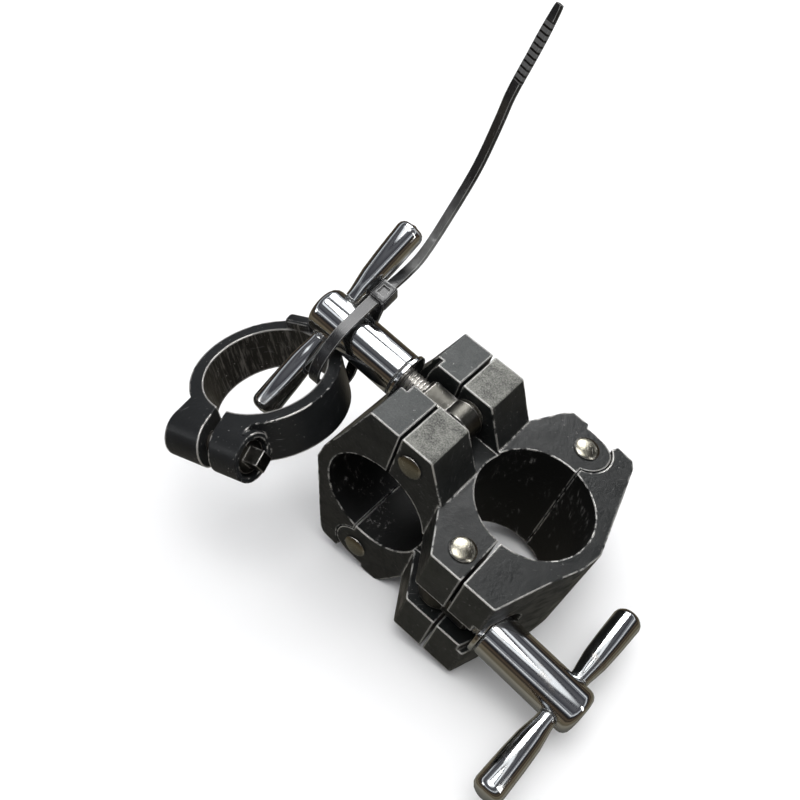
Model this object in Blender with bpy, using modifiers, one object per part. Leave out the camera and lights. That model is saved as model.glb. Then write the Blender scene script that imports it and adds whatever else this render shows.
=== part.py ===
"""Right-angle tube clamp with a memory-lock collar tied to one of its T-nuts.

Two equal hinged clamps share one casting, back to back and turned a quarter turn. Each is drawn once in its
own frame (u towards the jaw, v towards the hinge, s along the tube) and placed by an empty. A third empty
tilts the whole clamp into the pose in which it lies on a table. Metres, +Z up.
"""

import math

import bmesh
import bpy
from mathutils import Matrix, Vector

MM = 0.001
GAP = 0.3 * MM

# Clamp halves, seen along the tube
TUBE_RADIUS = 19.05 * MM
BORE_OFFSET = 19.3 * MM  # from the middle of the casting to each tube's axis
HALF_WIDTH = 23.2 * MM
SPLIT_GAP = 1.0 * MM
EAR_END = 37.2 * MM
HINGE = (0.3 * MM, 29.2 * MM)
KNUCKLE_RADIUS = 8.3 * MM
LUG_RADIUS = 8.0 * MM
LUG_HALF_WIDTH = 7.8 * MM
SOCKET_RADIUS = 8.8 * MM
PIN_RADIUS = 2.5 * MM
PIN_HOLE_RADIUS = PIN_RADIUS + GAP
PIN_HEAD_RADIUS = 4.3 * MM
PIN_HEAD_HEIGHT = 1.0 * MM

# Swing bolt and its slot
PIVOT = (-6.0 * MM, -29.0 * MM)
SLOT_REAR = -6.1 * MM
SLOT_FRONT = 5.6 * MM
SLOT_FLOOR = -21.8 * MM
EYE_RADIUS = 6.4 * MM
EYE_THICKNESS = 7.4 * MM
SHANK_END = 14.0 * MM
THREAD_RADIUS = 4.0 * MM
BOLT_LENGTH = 41.0 * MM
SPACER_RADIUS = 5.2 * MM
SPACER_THICKNESS = 1.7 * MM

# Washer, its seat on the jaw's ears, and the T-nut
SEAT = 11.5 * MM
SEAT_HALF_WIDTH = 9.0 * MM
WASHER_RADIUS = 8.4 * MM
WASHER_THICKNESS = 1.5 * MM
NUT_RADIUS = 7.6 * MM
NUT_LENGTH = 34.8 * MM
NUT_BORE_RADIUS = 4.4 * MM
NUT_BORE_DEPTH = 23.5 * MM
ARM_STATION = 28.0 * MM  # of the cross arms, from the nut's base
ARM_END = 37.3 * MM
ARM_TURN_A = math.radians(1)
ARM_TURN_B = math.radians(50.3)
BOLT_SWING = math.radians(-2.3)  # both bolts lean a little out of their slots
BACKED_OFF_A = 0.0 * MM
BACKED_OFF_B = 2.8 * MM

# Memory-lock collar, in its own frame with its axis along +Z
COLLAR_BORE = 20.05 * MM
COLLAR_WALL = 4.5 * MM
COLLAR_HEIGHT = 16.0 * MM
COLLAR_CENTRE = Vector((-71.3, -21.6, 15.3)) * MM
COLLAR_AXIS = Vector((-0.401, -0.098, 0.911)).normalized()
EAR_TURN = math.radians(-84)
EAR_REACH = 27.0 * MM
EAR_HALF_SPAN = 14.4 * MM
EAR_GAP = 4.2 * MM
EAR_GAP_TURN = math.radians(12)
KEY_SCREW_RADIUS = 2.9 * MM
EAR_WEB_SETBACK = 2.6 * MM  # of the web behind the round end that holds the screw's head
KEY_RECESS_RADIUS = 6.3 * MM
KEY_RECESS_DEPTH = 2.8 * MM
KEY_FLANGE_RADIUS = 5.4 * MM
KEY_FLANGE_THICKNESS = 1.3 * MM
KEY_HEAD_HALF = 2.6 * MM
KEY_HEAD_END = 6.6 * MM  # above the recess's floor
KEY_HEAD_TURN = math.radians(20)
TONGUE_WIDTH = 10.4 * MM
TONGUE_RISE = 3.6 * MM
TONGUE_TURN = math.radians(101)

# Cable tie, flat in a plane across the T-nut
TIE_STATION = -56.4 * MM
TIE_WIDTH = 3.6 * MM
TIE_THICKNESS = 1.3 * MM
TIE_HEAD = (7.0 * MM, 5.6 * MM, 6.0 * MM)
TIE_HEAD_PLACE = (9.4 * MM, 43.0 * MM, 0.9 * MM)
TIE_HEAD_TURN = math.radians(20)
TIE_WINDOW = (3.2 * MM, 1.6 * MM, 2.8 * MM)
TIE_TWIST = math.radians(-28)
TIE_TWIST_LENGTH = 22.0 * MM  # of tail, from the head, over which the twist comes
TIE_TIP_WIDTH = 2.0 * MM
TIE_TIP_LENGTH = 9.0 * MM

# The clamp lies on one edge of each half, tilted about the second tube's axis
REST_TILT = math.radians(-15.66)
REST_SHIFT = Vector((11.12, 5.59, 34.09)) * MM

CAST_BLACK = ((0.028, 0.029, 0.031), 0.42, 0.3)
BARE_STEEL = ((0.55, 0.53, 0.49), 0.35, 1.0)
CHROME = ((0.75, 0.75, 0.77), 0.1, 1.0)
NYLON_BLACK = ((0.012, 0.012, 0.013), 0.35, 0.0)


def clear_scene():
    for item in list(bpy.data.objects):
        bpy.data.objects.remove(item)


def new_collection(name):
    collection = bpy.data.collections.new(name)
    bpy.context.scene.collection.children.link(collection)
    return collection


def material(name, look):
    colour, roughness, metallic = look
    made = bpy.data.materials.new(name)
    made.use_nodes = True
    shader = made.node_tree.nodes["Principled BSDF"]
    shader.inputs["Base Color"].default_value = (*colour, 1.0)
    shader.inputs["Roughness"].default_value = roughness
    shader.inputs["Metallic"].default_value = metallic
    return made


def new_empty(name, parent=None, matrix=None):
    empty = bpy.data.objects.new(name, None)
    bpy.context.scene.collection.objects.link(empty)
    empty.parent = parent
    if matrix is not None:
        empty.matrix_local = matrix
    return empty


def mesh_object(name, mesh, collection, parent=None):
    made = bpy.data.objects.new(name, mesh)
    collection.objects.link(made)
    made.parent = parent
    return made


def as_cutter(made):
    made.hide_render = True
    made.display_type = "WIRE"
    return made


# Outlines and meshes


def arc(centre, radius, start, end, steps):
    """Points of an arc, angles in degrees."""
    turns = [math.radians(start + (end - start) * i / steps) for i in range(steps + 1)]
    return [(centre[0] + radius * math.cos(t), centre[1] + radius * math.sin(t)) for t in turns]


def rounded(corners, steps=4):
    """The outline through corners given as (x, y, radius) in millimetres, each rounded by its radius."""
    points = []
    for i, (x, y, radius) in enumerate(corners):
        here = Vector((x, y)) * MM
        if radius == 0:
            points.append(tuple(here))
            continue
        before = (Vector(corners[i - 1][:2]) * MM - here).normalized()
        after = (Vector(corners[(i + 1) % len(corners)][:2]) * MM - here).normalized()
        half = before.angle(after) / 2
        reach = radius * MM / math.tan(half)
        centre = here + (before + after).normalized() * radius * MM / math.sin(half)
        first = here + before * reach - centre
        turn = first.angle_signed(here + after * reach - centre)
        for step in range(steps + 1):
            points.append(tuple(centre + Matrix.Rotation(-turn * step / steps, 2) @ first))
    return points


def mesh_of_curve(name, loops, thickness):
    """A flat plate with the outlines given, centred on its middle plane, as one welded mesh."""
    curve = bpy.data.curves.new(name, "CURVE")
    curve.dimensions = "2D"
    curve.fill_mode = "BOTH"
    curve.extrude = thickness / 2
    for loop in loops:
        spline = curve.splines.new("POLY")
        spline.points.add(len(loop) - 1)
        for point, (x, y) in zip(spline.points, loop):
            point.co = (x, y, 0, 1)
        spline.use_cyclic_u = True
    made = bpy.data.objects.new(name, curve)
    bpy.context.scene.collection.objects.link(made)
    graph = bpy.context.evaluated_depsgraph_get()
    mesh = bpy.data.meshes.new_from_object(made.evaluated_get(graph))
    bpy.data.objects.remove(made)
    return tidy(mesh, 1e-6)


def tidy(mesh, weld):
    cage = bmesh.new()
    cage.from_mesh(mesh)
    bmesh.ops.remove_doubles(cage, verts=cage.verts, dist=weld)
    bmesh.ops.recalc_face_normals(cage, faces=cage.faces)
    cage.to_mesh(mesh)
    cage.free()
    return mesh


def cylinder_mesh(name, radius, length, axis="Z", segments=32, middle=(0, 0, 0)):
    cage = bmesh.new()
    bmesh.ops.create_cone(
        cage, cap_ends=True, segments=segments, radius1=radius, radius2=radius, depth=length
    )
    turn = {
        "X": Matrix.Rotation(math.pi / 2, 4, "Y"),
        "Y": Matrix.Rotation(-math.pi / 2, 4, "X"),
        "Z": Matrix.Identity(4),
    }[axis]
    bmesh.ops.transform(cage, matrix=Matrix.Translation(middle) @ turn, verts=cage.verts)
    mesh = bpy.data.meshes.new(name)
    cage.to_mesh(mesh)
    cage.free()
    return mesh


def box_mesh(name, low, high):
    cage = bmesh.new()
    bmesh.ops.create_cube(cage, size=1)
    sides = Vector(high) - Vector(low)
    middle = (Vector(high) + Vector(low)) / 2
    placing = Matrix.Translation(middle) @ Matrix.Diagonal((*sides, 1))
    bmesh.ops.transform(cage, matrix=placing, verts=cage.verts)
    mesh = bpy.data.meshes.new(name)
    cage.to_mesh(mesh)
    cage.free()
    return mesh


def boolean(target, other, operation="DIFFERENCE"):
    step = target.modifiers.new(other.name, "BOOLEAN")
    step.operation = operation
    step.object = other
    step.solver = "EXACT"


def cut(target, mesh, parent=None):
    """Cuts the target with a mesh placed in the parent's frame."""
    cutter = as_cutter(mesh_object(mesh.name, mesh, CUTTERS, parent))
    boolean(target, cutter)
    return cutter


def join(target, mesh, parent=None):
    other = as_cutter(mesh_object(mesh.name, mesh, CUTTERS, parent))
    boolean(target, other, "UNION")
    return other


def turned(name, profile, collection, parent, segments=32):
    """A turned solid about the object's X axis. The profile runs (x, radius) in millimetres from one end
    of the axis to the other."""
    mesh = bpy.data.meshes.new(name)
    points = [(radius * MM, 0, -x * MM) for x, radius in profile]
    edges = [(i, i + 1) for i in range(len(points) - 1)]
    mesh.from_pydata(points, edges, [])
    made = mesh_object(name, mesh, collection, parent)
    step = made.modifiers.new("turned", "SCREW")
    step.steps = segments
    step.render_steps = segments
    step.use_merge_vertices = True
    step.merge_threshold = 0.000001
    step.use_smooth_shade = False
    return made


def turned_mesh(name, profile, segments=32):
    """The mesh of a turned solid, its axis laid along X."""
    made = turned(name, profile, bpy.context.scene.collection, None, segments)
    graph = bpy.context.evaluated_depsgraph_get()
    graph.update()
    mesh = bpy.data.meshes.new_from_object(made.evaluated_get(graph))
    bpy.data.objects.remove(made)
    mesh.transform(Matrix.Rotation(-math.pi / 2, 4, "Y"))
    return tidy(mesh, 1e-6)


def finish(made, look):
    made.data.materials.append(material(made.name, look))
    made.data.shade_smooth()
    made.data.set_sharp_from_angle(angle=math.radians(30))
    return made


# The two castings of each clamp


def fixed_outline():
    """The fixed half: flat back, shoulder above, knuckle round the hinge pin, ear below."""
    half_gap = SPLIT_GAP / 2 / MM
    ear = EAR_END / MM
    shoulder = rounded(
        [
            (-3.8, 36.2, 0),
            (-4.6, 37.9, 0.6),
            (-10.6, 37.9, 1.5),
            (-12.9, 35.2, 2),
            (-18.9, 23.4, 3),
            (-20.2, 19.7, 1),
            (-20.2, -22.6, 2),
            (-16.2, -29.3, 6),
            (-11.6, -ear, 1.2),
            (-half_gap, -ear, 0.3),
            (-half_gap, 16.0, 0),
            (3.0, 16.0, 0),
        ]
    )
    knuckle = arc(HINGE, KNUCKLE_RADIUS, -71, 31, 11)
    crest = [(5.9, 34.5), (3.7, 35.5), (-1.0, 36.1)]
    return shoulder + knuckle + [(x * MM, y * MM) for x, y in crest]


def jaw_outline():
    """The jaw: straight inner edge, hook at the hinge, blunt nose opposite the tube, ear below."""
    half_gap = SPLIT_GAP / 2 / MM
    ear = EAR_END / MM
    return rounded(
        [
            (half_gap, -ear, 0.3),
            (11.7, -ear, 1.0),
            (15.3, -26.9, 10),
            (18.7, -17.4, 14),
            (23.0, -7.2, 9),
            (24.3, 0.4, 2.5),
            (21.7, 10.4, 0),
            (18.3, 23.7, 0),
            (15.2, 35.0, 1.3),
            (13.4, 37.2, 1.0),
            (7.4, 37.9, 0.7),
            (6.3, 35.4, 0.4),
            (4.5, 31.0, 0),
            (3.3, 22.0, 0),
            (3.3, 16.0, 0),
            (half_gap, 16.0, 0),
        ]
    )


def bore_mesh():
    return cylinder_mesh("tube_bore", TUBE_RADIUS, HALF_WIDTH * 2.4, segments=64)


def slot_mesh():
    """The bolt's slot: through both ears, and just into the other clamp's face."""
    reach = BORE_OFFSET + 2.3 * MM
    return box_mesh(
        "bolt_slot", (-reach, -2 * EAR_END, SLOT_REAR), (40 * MM, SLOT_FLOOR, SLOT_FRONT)
    )


def pin_hole_mesh(place):
    return cylinder_mesh(
        "pin_hole", PIN_HOLE_RADIUS, HALF_WIDTH * 2.4, segments=24, middle=(*place, 0)
    )


def make_body(units):
    """Both fixed halves as one casting."""
    halves = [mesh_of_curve("fixed_half", [fixed_outline()], HALF_WIDTH * 2) for _ in units]
    for mesh, unit in zip(halves, units):
        mesh.transform(unit.matrix_local)
    body = mesh_object("clamp_body", halves[0], PARTS, REST)
    join(body, halves[1], REST)
    for unit in units:
        cut(body, bore_mesh(), unit)
        cut(body, slot_mesh(), unit)
        cut(body, pin_hole_mesh(HINGE), unit)
        cut(body, pin_hole_mesh(PIVOT), unit)
        lug_room = cylinder_mesh(
            "lug_room",
            KNUCKLE_RADIUS + 0.2 * MM,
            2 * (LUG_HALF_WIDTH + GAP),
            segments=40,
            middle=(*HINGE, 0),
        )
        cut(body, lug_room, unit)
    return finish(body, CAST_BLACK)


def crowned_seat(unit):
    """What is cut from the jaw's ears for the washer: a flat seat that falls away round the bolt's pivot."""
    seat = mesh_object(
        "seat_room",
        box_mesh(
            "seat_room",
            (5 * MM, -50 * MM, -SEAT_HALF_WIDTH),
            (40 * MM, PIVOT[1], SEAT_HALF_WIDTH),
        ),
        CUTTERS,
        unit,
    )
    crown = cylinder_mesh(
        "seat_crown",
        SEAT - PIVOT[0],
        4 * SEAT_HALF_WIDTH,
        segments=96,
        middle=(*PIVOT, 0),
    )
    boolean(seat, as_cutter(mesh_object("seat_crown", crown, CUTTERS, unit)))
    return as_cutter(seat)


def make_jaw(letter, unit):
    axis = new_empty("jaw_axis_" + letter, unit, Matrix.Translation((*HINGE, 0)))
    mesh = mesh_of_curve("jaw", [jaw_outline()], HALF_WIDTH * 2)
    mesh.transform(Matrix.Translation((-HINGE[0], -HINGE[1], 0)))
    jaw = mesh_object("jaw_" + letter, mesh, PARTS, axis)
    side = HALF_WIDTH * 1.1 - LUG_HALF_WIDTH
    for sign in (-1, 1):
        middle = (*HINGE, sign * (LUG_HALF_WIDTH + side / 2))
        socket = cylinder_mesh("knuckle_socket", SOCKET_RADIUS, side, segments=48, middle=middle)
        cut(jaw, socket, unit)
    lug = cylinder_mesh(
        "hinge_lug", LUG_RADIUS, 2 * LUG_HALF_WIDTH, segments=40, middle=(*HINGE, 0)
    )
    join(jaw, lug, unit)
    cut(jaw, bore_mesh(), unit)
    cut(jaw, slot_mesh(), unit)
    cut(jaw, pin_hole_mesh(HINGE), unit)
    pocket = cylinder_mesh(
        "seat_pocket",
        SEAT_HALF_WIDTH,
        30 * MM,
        "X",
        segments=48,
        middle=(SEAT + 15 * MM, PIVOT[1], 0),
    )
    cut(jaw, pocket, unit)
    boolean(jaw, crowned_seat(unit))
    return finish(jaw, CAST_BLACK)


# Pins and the swing bolt


def make_pin(name, place, unit):
    """A riveted pin with a domed head at each end."""
    face = HALF_WIDTH / MM + GAP / MM
    head = PIN_HEAD_RADIUS / MM
    rise = PIN_HEAD_HEIGHT / MM
    radius = PIN_RADIUS / MM
    dome = [
        (face + rise * math.cos(t), head * math.sin(t))
        for t in (math.radians(a) for a in (0, 25, 45, 65, 85))
    ]
    half = dome + [(face, head), (face, radius)]
    profile = [(-x, r) for x, r in half] + [(x, r) for x, r in reversed(half)]
    mesh = turned_mesh(name, profile, 28)
    mesh.transform(Matrix.Rotation(math.pi / 2, 4, "Y"))
    pin = mesh_object(name, mesh, PARTS, unit)
    pin.location = (*place, 0)
    return finish(pin, BARE_STEEL)


def make_spacer(letter, axis):
    """The bush beside the bolt's eye, which fills the rear of the slot."""
    rear = SLOT_REAR + 0.4 * MM
    middle = (0, 0, rear + SPACER_THICKNESS / 2)
    mesh = cylinder_mesh("spacer", SPACER_RADIUS, SPACER_THICKNESS, segments=32, middle=middle)
    spacer = mesh_object("pivot_spacer_" + letter, mesh, PARTS, axis)
    cut(spacer, cylinder_mesh("pin_hole", PIN_HOLE_RADIUS, 0.1, segments=24), axis)
    return finish(spacer, BARE_STEEL)


def make_bolt(letter, axis):
    """Eye, flat shank and threaded rod, drawn along +X from the pivot."""
    mesh = cylinder_mesh("bolt_eye", EYE_RADIUS, EYE_THICKNESS, segments=36)
    bolt = mesh_object("swing_bolt_" + letter, mesh, PARTS, axis)
    half = THREAD_RADIUS + 0.5 * MM
    shank = box_mesh(
        "bolt_shank", (0, -half, -EYE_THICKNESS / 2), (SHANK_END, half, EYE_THICKNESS / 2)
    )
    join(bolt, shank, axis)
    rod_length = BOLT_LENGTH - SHANK_END + 2 * MM
    middle = (BOLT_LENGTH - rod_length / 2, 0, 0)
    rod = cylinder_mesh("bolt_rod", THREAD_RADIUS, rod_length, "X", segments=32, middle=middle)
    join(bolt, rod, axis)
    cut(bolt, cylinder_mesh("pin_hole", PIN_HOLE_RADIUS, 0.1, segments=24), axis)
    return finish(bolt, BARE_STEEL)


# Washer and T-nut, drawn along +X from the jaw's seat


def make_washer(letter, axis):
    start = GAP / MM
    end = start + WASHER_THICKNESS / MM
    outer = WASHER_RADIUS / MM
    inner = NUT_BORE_RADIUS / MM
    rim = [(start, inner), (start, outer - 0.3), (start + 0.3, outer), (end - 0.3, outer)]
    loop = rim + [(end, outer - 0.3), (end, inner), (start, inner)]
    washer = mesh_object("washer_" + letter, turned_mesh("washer", loop, 40), PARTS, axis)
    return finish(washer, CHROME)


def nut_base():
    return WASHER_THICKNESS + 2 * GAP


def make_nut(letter, axis):
    """The long barrel: blind threaded bore from the base, cross hole for the arms, rounded end."""
    base = nut_base() / MM
    end = base + NUT_LENGTH / MM
    outer = NUT_RADIUS / MM
    bore = NUT_BORE_RADIUS / MM
    floor = base + NUT_BORE_DEPTH / MM
    crown = [
        (end - 2.6 * (1 - math.sin(t)), outer - 2.6 * (1 - math.cos(t)))
        for t in (math.radians(a) for a in (0, 22, 45, 68, 90))
    ]
    profile = [(floor + 1.5, 0), (floor, bore), (base, bore), (base, outer - 0.6)]
    profile += [(base + 0.6, outer)] + crown + [(end + 0.4, 0)]
    nut = mesh_object("t_nut_" + letter, turned_mesh("t_nut", profile, 40), PARTS, axis)
    cross = cylinder_mesh("arm_hole", 2.8 * MM, 40 * MM, "Y", segments=24)
    hole = cut(nut, cross, axis)
    hole.location = (nut_base() + ARM_STATION, 0, 0)
    return finish(nut, CHROME)


def arm_profile():
    """Spigot in the barrel, narrow neck, then a slow taper to a rounded end."""
    end = ARM_END / MM
    tip = [
        (end - 2.6 * (1 - math.sin(t)), 4.65 - 2.6 * (1 - math.cos(t)))
        for t in (math.radians(a) for a in (0, 25, 50, 70, 90))
    ]
    neck = [(2.8, 0), (2.8, 2.5), (7.9, 2.5), (7.9, 2.95), (10.0, 3.05), (13.0, 3.5), (17.0, 4.05)]
    return neck + [(24.0, 4.4)] + tip + [(end + 0.5, 0)]


def make_arm(name, axis, side):
    mesh = turned_mesh(name, arm_profile(), 28)
    mesh.transform(Matrix.Rotation(side * math.pi / 2, 4, "Z"))
    arm = mesh_object(name, mesh, PARTS, axis)
    arm.location = (nut_base() + ARM_STATION, 0, 0)
    return finish(arm, CHROME)


def make_unit_hardware(letter, unit, arm_turn, backed_off):
    """The pins of one clamp, and everything that moves with its swing bolt."""
    make_pin("hinge_pin_" + letter, HINGE, unit)
    make_pin("pivot_pin_" + letter, PIVOT, unit)
    swing = Matrix.Translation((*PIVOT, 0)) @ Matrix.Rotation(BOLT_SWING, 4, "Z")
    pivot = new_empty("bolt_axis_" + letter, unit, swing)
    make_spacer(letter, pivot)
    make_bolt(letter, pivot)
    station = SEAT - PIVOT[0] + backed_off
    seat = new_empty("seat_" + letter, pivot, Matrix.Translation((station, 0, 0)))
    make_washer(letter, seat)
    spin = new_empty("nut_axis_" + letter, seat, Matrix.Rotation(arm_turn, 4, "X"))
    make_nut(letter, spin)
    make_arm("t_arm_" + letter + "_1", spin, 1)
    make_arm("t_arm_" + letter + "_2", spin, -1)


# Memory-lock collar


def collar_matrix():
    z = COLLAR_AXIS
    x = Vector((0, 1, 0)).cross(z).normalized()
    y = z.cross(x)
    turn = Matrix((x, y, z)).transposed().to_4x4()
    middle = COLLAR_CENTRE - z * COLLAR_HEIGHT / 2
    return Matrix.Translation(middle) @ turn


def make_collar(frame, ears):
    outer = COLLAR_BORE + COLLAR_WALL
    wall = cylinder_mesh("collar_wall", outer, COLLAR_HEIGHT, segments=64)
    collar = mesh_object("memory_lock_collar", wall, PARTS, frame)
    half = COLLAR_HEIGHT / 2
    stadium = cylinder_mesh(
        "collar_ears", half, 2 * EAR_HALF_SPAN, "Y", segments=36, middle=(EAR_REACH, 0, 0)
    )
    join(collar, stadium, ears)
    web_end = EAR_HALF_SPAN - EAR_WEB_SETBACK
    web = box_mesh("collar_ear_web", (12 * MM, -EAR_HALF_SPAN, -half), (EAR_REACH, web_end, half))
    join(collar, web, ears)
    side = TONGUE_WIDTH / 2
    tongue = box_mesh(
        "collar_tongue", (COLLAR_BORE, -side, 0), (outer, side, half + TONGUE_RISE)
    )
    key = join(collar, tongue, frame)
    key.rotation_euler = (0, 0, TONGUE_TURN)
    corner = key.modifiers.new("round", "BEVEL")
    corner.width = 1.6 * MM
    corner.segments = 3
    bore = cylinder_mesh("collar_bore", COLLAR_BORE, 4 * COLLAR_HEIGHT, segments=64)
    cut(collar, bore, frame)
    gap = box_mesh(
        "collar_gap", (-14 * MM, -EAR_GAP / 2, -40 * MM), (16 * MM, EAR_GAP / 2, 40 * MM)
    )
    slit = cut(collar, gap, ears)
    slit.location = (EAR_REACH, 0, 0)
    slit.rotation_euler = (0, 0, EAR_GAP_TURN)
    hole = cylinder_mesh("key_screw_hole", KEY_SCREW_RADIUS + GAP, 0.1, "Y", 24)
    cut(collar, hole, ears).location = (EAR_REACH, 0, 0)
    recess = cylinder_mesh("key_screw_recess", KEY_RECESS_RADIUS, 2 * KEY_RECESS_DEPTH, "Y", 32)
    cut(collar, recess, ears).location = (EAR_REACH, EAR_HALF_SPAN, 0)
    return finish(collar, CAST_BLACK)


def make_key_screw(ears):
    """A drum-key screw: square head on a flange, shank through both ears."""
    axis = new_empty("key_screw_axis", ears, Matrix.Translation((EAR_REACH, 0, 0)))
    seat = EAR_HALF_SPAN - KEY_RECESS_DEPTH + GAP
    far = -EAR_HALF_SPAN + 1 * MM
    near = seat + KEY_FLANGE_THICKNESS / 2
    middle = (0, (near + far) / 2, 0)
    shank = cylinder_mesh("key_screw", KEY_SCREW_RADIUS, near - far, "Y", 24, middle)
    screw = mesh_object("collar_key_screw", shank, PARTS, axis)
    flange = cylinder_mesh(
        "screw_flange", KEY_FLANGE_RADIUS, KEY_FLANGE_THICKNESS, "Y", 28, (0, near, 0)
    )
    join(screw, flange, axis)
    half = KEY_HEAD_HALF
    head = box_mesh("screw_head", (-half, near, -half), (half, seat + KEY_HEAD_END, half))
    square = join(screw, head, axis)
    square.rotation_euler = (0, KEY_HEAD_TURN, 0)
    return finish(screw, BARE_STEEL)


# Cable tie, drawn in the plane across the T-nut: x is the clamp's Y and y is its Z


def smooth(points, steps, closed):
    """A Catmull-Rom curve through points given in millimetres."""
    count = len(points)
    out = []
    for i in range(count if closed else count - 1):
        if closed:
            a, b, c, d = (Vector(points[(i + k - 1) % count]) for k in range(4))
        else:
            a, b, c, d = (Vector(points[min(max(i + k - 1, 0), count - 1)]) for k in range(4))
        for step in range(steps):
            t = step / steps
            place = 2 * b + (c - a) * t + (2 * a - 5 * b + 4 * c - d) * t * t
            place += (3 * b - a - 3 * c + d) * t * t * t
            out.append(place / 2 * MM)
    if not closed:
        out.append(Vector(points[-1]) * MM)
    return out


def offset(ring, distance):
    """The closed outline beside a ring of points, to its left by the distance."""
    out = []
    for i, place in enumerate(ring):
        along = (ring[(i + 1) % len(ring)] - ring[i - 1]).normalized()
        out.append((place.x - along.y * distance, place.y + along.x * distance))
    return out


# The loop holds the T-nut and the collar's wall. The tail leaves the head and curves up.
TIE_LOOP = [
    (9.5, 43.0),
    (1.0, 41.0),
    (-7.5, 38.0),
    (-13.0, 33.5),
    (-16.5, 27.5),
    (-16.0, 21.0),
    (-11.5, 15.0),
    (-5.5, 7.0),
    (-3.5, 4.8),
    (-0.5, 3.9),
    (2.8, 4.3),
    (4.8, 6.5),
    (5.5, 11.0),
    (7.0, 20.5),
    (9.0, 30.5),
    (10.8, 39.5),
]
TIE_TAIL = [
    (9.5, 43.0),
    (19.5, 44.5),
    (28.0, 48.5),
    (36.0, 60.5),
    (43.5, 76.0),
    (46.5, 92.0),
    (47.5, 101.0),
    (52.0, 113.0),
    (56.5, 126.0),
]


def tie_plane():
    """The tie's drawing plane, standing across the T-nut."""
    turn = Matrix(((0, 0, 1), (1, 0, 0), (0, 1, 0))).to_4x4()
    return Matrix.Translation((TIE_STATION, 0, 0)) @ turn


def tail_mesh():
    """The tail as a strap that twists as it leaves the head and narrows towards its tip."""
    route = smooth(TIE_TAIL, 8, False)
    runs = [(b - a).length for a, b in zip(route, route[1:])]
    total = sum(runs)
    cage = bmesh.new()
    rings = []
    for i, place in enumerate(route):
        travelled = sum(runs[:i])
        along = (route[min(i + 1, len(route) - 1)] - route[max(i - 1, 0)]).normalized()
        twist = TIE_TWIST * min(1, travelled / TIE_TWIST_LENGTH)
        share = min(1, (total - travelled) / TIE_TIP_LENGTH)
        width = TIE_TIP_WIDTH + (TIE_WIDTH - TIE_TIP_WIDTH) * math.sqrt(share)
        side = Vector((along.y, -along.x, 0))
        across = Vector((0, 0, 1)) * math.cos(twist) + side * math.sin(twist)
        through = Vector((*along, 0)).cross(across) * TIE_THICKNESS / 2
        middle = Vector((*place, 0))
        reach = across * width / 2
        corners = (-reach - through, reach - through, reach + through, -reach + through)
        rings.append([cage.verts.new(middle + corner) for corner in corners])
    for first, second in zip(rings, rings[1:]):
        for k in range(4):
            n = (k + 1) % 4
            cage.faces.new((first[k], first[n], second[n], second[k]))
    cage.faces.new(rings[0])
    cage.faces.new(rings[-1])
    bmesh.ops.triangulate(cage, faces=cage.faces)
    bmesh.ops.recalc_face_normals(cage, faces=cage.faces)
    mesh = bpy.data.meshes.new("cable_tie_tail")
    cage.to_mesh(mesh)
    cage.free()
    return mesh


def make_cable_tie():
    plane = new_empty("cable_tie_plane", REST, tie_plane())
    half = TIE_THICKNESS / 2
    ring = smooth(TIE_LOOP, 4, True)
    loops = [offset(ring, half), offset(ring, -half)]
    band = mesh_of_curve("cable_tie", loops, TIE_WIDTH)
    tie = mesh_object("cable_tie", band, PARTS, plane)
    join(tie, tail_mesh(), plane)
    half_head = Vector(TIE_HEAD) / 2
    head = join(tie, box_mesh("cable_tie_head", -half_head, half_head), plane)
    head.location = TIE_HEAD_PLACE
    head.rotation_euler = (0, 0, TIE_HEAD_TURN)
    corner = head.modifiers.new("round", "BEVEL")
    corner.width = 0.8 * MM
    corner.segments = 2
    half_window = Vector(TIE_WINDOW) / 2
    window = cut(tie, box_mesh("cable_tie_window", -half_window, half_window), head)
    window.location = (0, half_head.y, 0)
    return finish(tie, NYLON_BLACK)


def main():
    units = [
        new_empty("unit_a", REST, Matrix.Translation((BORE_OFFSET, 0, 0))),
        new_empty("unit_b", REST, UNIT_B),
    ]
    bpy.context.view_layer.update()
    make_body(units)
    make_jaw("a", units[0])
    make_jaw("b", units[1])
    make_unit_hardware("a", units[0], ARM_TURN_A, BACKED_OFF_A)
    make_unit_hardware("b", units[1], ARM_TURN_B, BACKED_OFF_B)
    collar_frame = new_empty("collar_frame", REST, collar_matrix())
    ears = new_empty("collar_ears", collar_frame, Matrix.Rotation(EAR_TURN, 4, "Z"))
    make_collar(collar_frame, ears)
    make_key_screw(ears)
    make_cable_tie()


clear_scene()
PARTS = new_collection("right_angle_tube_clamp")
CUTTERS = new_collection("cutters")
CUTTERS.hide_render = True
REST = new_empty(
    "rest", None, Matrix.Translation(REST_SHIFT) @ Matrix.Rotation(-REST_TILT, 4, "Y")
)
# The second clamp is the first one turned half a turn about the line midway between -Y and +Z.
UNIT_B = Matrix(
    ((-1, 0, 0, -BORE_OFFSET), (0, 0, -1, 0), (0, -1, 0, 0), (0, 0, 0, 1))
)
main()
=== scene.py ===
"""Looks of the right-angle tube clamp: materials, detailed swing bolts, floor, lights and camera."""

import math

import bpy
from mathutils import Matrix, Vector


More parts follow.
